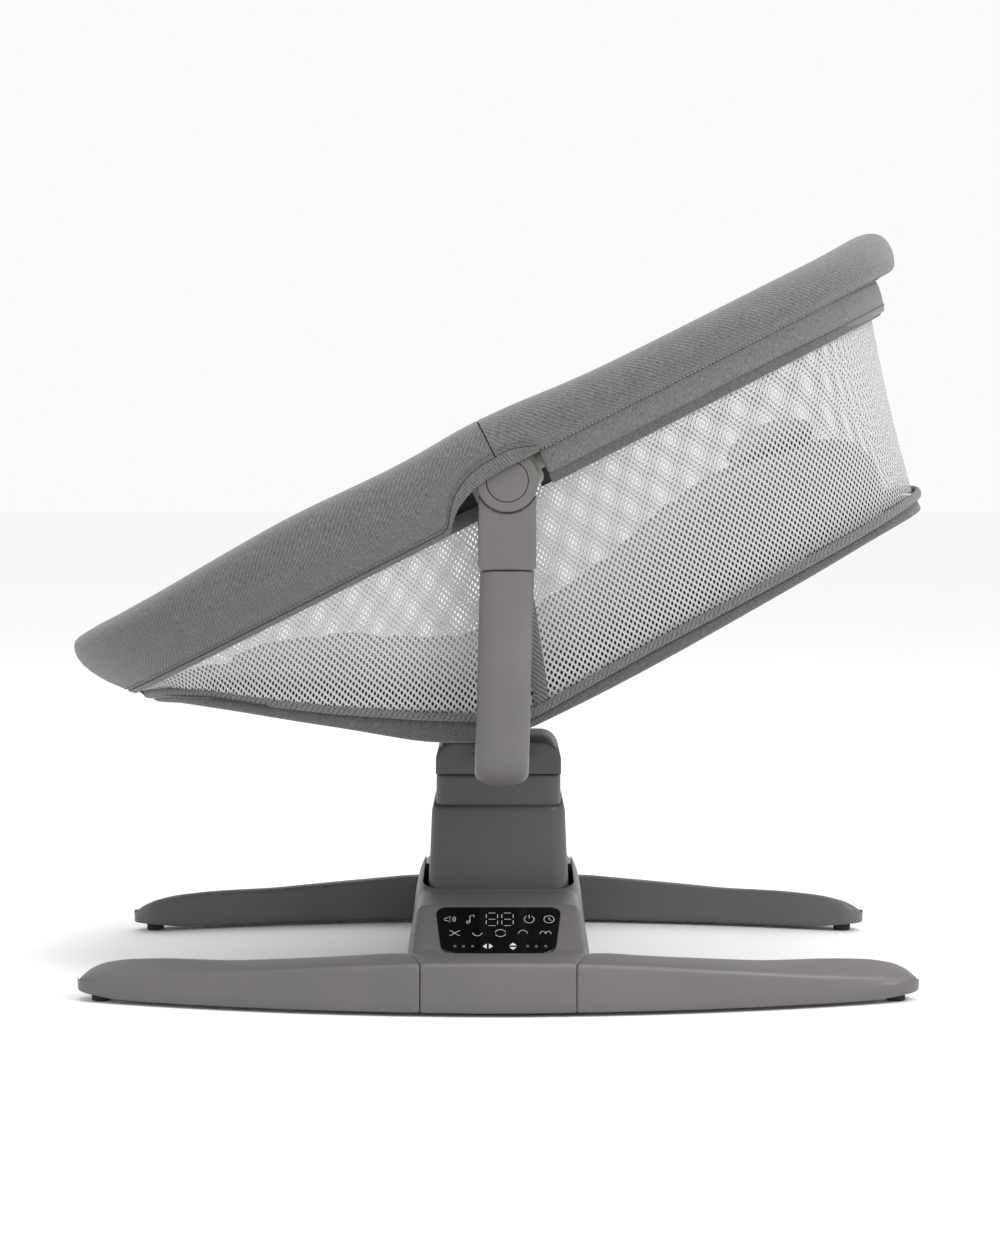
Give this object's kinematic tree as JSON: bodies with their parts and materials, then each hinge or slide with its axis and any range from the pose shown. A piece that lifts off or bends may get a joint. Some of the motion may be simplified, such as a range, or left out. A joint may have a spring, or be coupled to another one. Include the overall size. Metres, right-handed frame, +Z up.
{
  "type": "baby swing",
  "caption": "Electric baby swing: a tilting mesh-sided bassinet basket on a yoke, over a rocking and lifting tower on a base with bowed legs and a touch panel.",
  "frame": {"origin": "on the floor under the middle of the base", "axes": "+X along the basket to the baby's head, +Y to the back (the control panel faces -Y), +Z up"},
  "size_m": [0.8289, 0.5762, 0.721],
  "materials": {
    "plastic": "matte",
    "dark_plastic": "matte",
    "bracket_plastic": "matte",
    "rubber": "matte",
    "panel_glass": "gloss",
    "circuit_board": "satin",
    "steel": "satin",
    "brass": "satin",
    "twill": "matte",
    "air_mesh": "matte",
    "pad_cloth": "matte",
    "hardboard": "matte"
  },
  "bodies": {
    "base": {"base_housing": "plastic", "base_bottom_cover": "dark_plastic", "leg_front_foot": "plastic", "leg_front_head": "plastic", "leg_rear_foot": "plastic", "leg_rear_head": "plastic", "foot_pad_front_foot": "rubber", "foot_pad_front_head": "rubber", "foot_pad_rear_foot": "rubber", "foot_pad_rear_head": "rubber", "control_panel_glass": "panel_glass", "display_board": "circuit_board", "main_board": "circuit_board", "speaker": "dark_plastic", "power_inlet": "dark_plastic", "rock_shaft": "steel", "rock_motor": "steel", "rock_bearing_front": "dark_plastic", "rock_bearing_rear": "dark_plastic", "base_screw_front_foot": "steel", "base_screw_front_head": "steel", "base_screw_rear_foot": "steel", "base_screw_rear_head": "steel"},
    "rocker": {"lower_column": "dark_plastic", "rocker_frame": "steel", "sector_gear": "brass", "lift_motor": "dark_plastic", "guide_rod_foot": "steel", "guide_rod_head": "steel"},
    "pinion": {"rock_pinion": "brass"},
    "lift": {"upper_column": "dark_plastic", "column_cap": "dark_plastic", "yoke_beam": "steel", "yoke_arm_front": "plastic", "yoke_arm_rear": "plastic", "arm_head_front": "plastic", "arm_head_rear": "plastic", "lift_carriage": "dark_plastic"},
    "lift_screw": {"lift_screw": "steel"},
    "basket": {"rim_tube_foot": "steel", "rim_tube_head": "steel", "rim_cover_foot": "twill", "rim_cover_head": "twill", "rim_skirt_head": "twill", "mesh_wall_head": "air_mesh", "mesh_wall_foot_front": "air_mesh", "mesh_wall_foot_rear": "air_mesh", "floor_board_foot": "hardboard", "floor_board_head": "hardboard", "floor_cover": "twill", "floor_piping": "twill", "seat_pad": "pad_cloth", "head_cushion": "pad_cloth", "pivot_bracket_front": "bracket_plastic", "pivot_bracket_rear": "bracket_plastic", "pivot_pin_front": "steel", "pivot_pin_rear": "steel"},
    "button_front": {"release_button_front": "plastic"},
    "button_rear": {"release_button_rear": "plastic"}
  },
  "joints": [
    {"name": "rock_hinge", "type": "hinge", "parent": "base", "child": "rocker", "pos_m": [0, 0, 0.05], "axis": [0, 1, 0], "range_deg": [-3, 3]},
    {"name": "pinion_spin", "type": "hinge", "parent": "base", "child": "pinion", "pos_m": [-0.04425, 0, 0.05], "axis": [0, 1, 0], "range_deg": [-13.5, 13.5]},
    {"name": "lift_slide", "type": "slide", "parent": "rocker", "child": "lift", "axis": [0, 0, 1], "range_m": [-0.01, 0.025]},
    {"name": "screw_spin", "type": "hinge", "parent": "rocker", "child": "lift_screw", "pos_m": [0, 0, 0.05], "axis": [0, 0, 1], "range_deg": [-450, 1125]},
    {"name": "basket_tilt", "type": "hinge", "parent": "lift", "child": "basket", "pos_m": [0.008, 0, 0.481], "axis": [0, 1, 0], "range_deg": [0, 26.9]},
    {"name": "button_press_front", "type": "slide", "parent": "lift", "child": "button_front", "axis": [0, 1, 0], "range_m": [0, 0.003], "stiffness_N_per_m": 600, "springref_m": -0.003},
    {"name": "button_press_rear", "type": "slide", "parent": "lift", "child": "button_rear", "axis": [0, -1, 0], "range_m": [0, 0.003], "stiffness_N_per_m": 600, "springref_m": -0.003}
  ],
  "couplings": [
    {"joint": "pinion_spin", "follows": "rock_hinge", "ratio": -4.5},
    {"joint": "screw_spin", "follows": "lift_slide", "rad_per_m": 785.4}
  ]
}
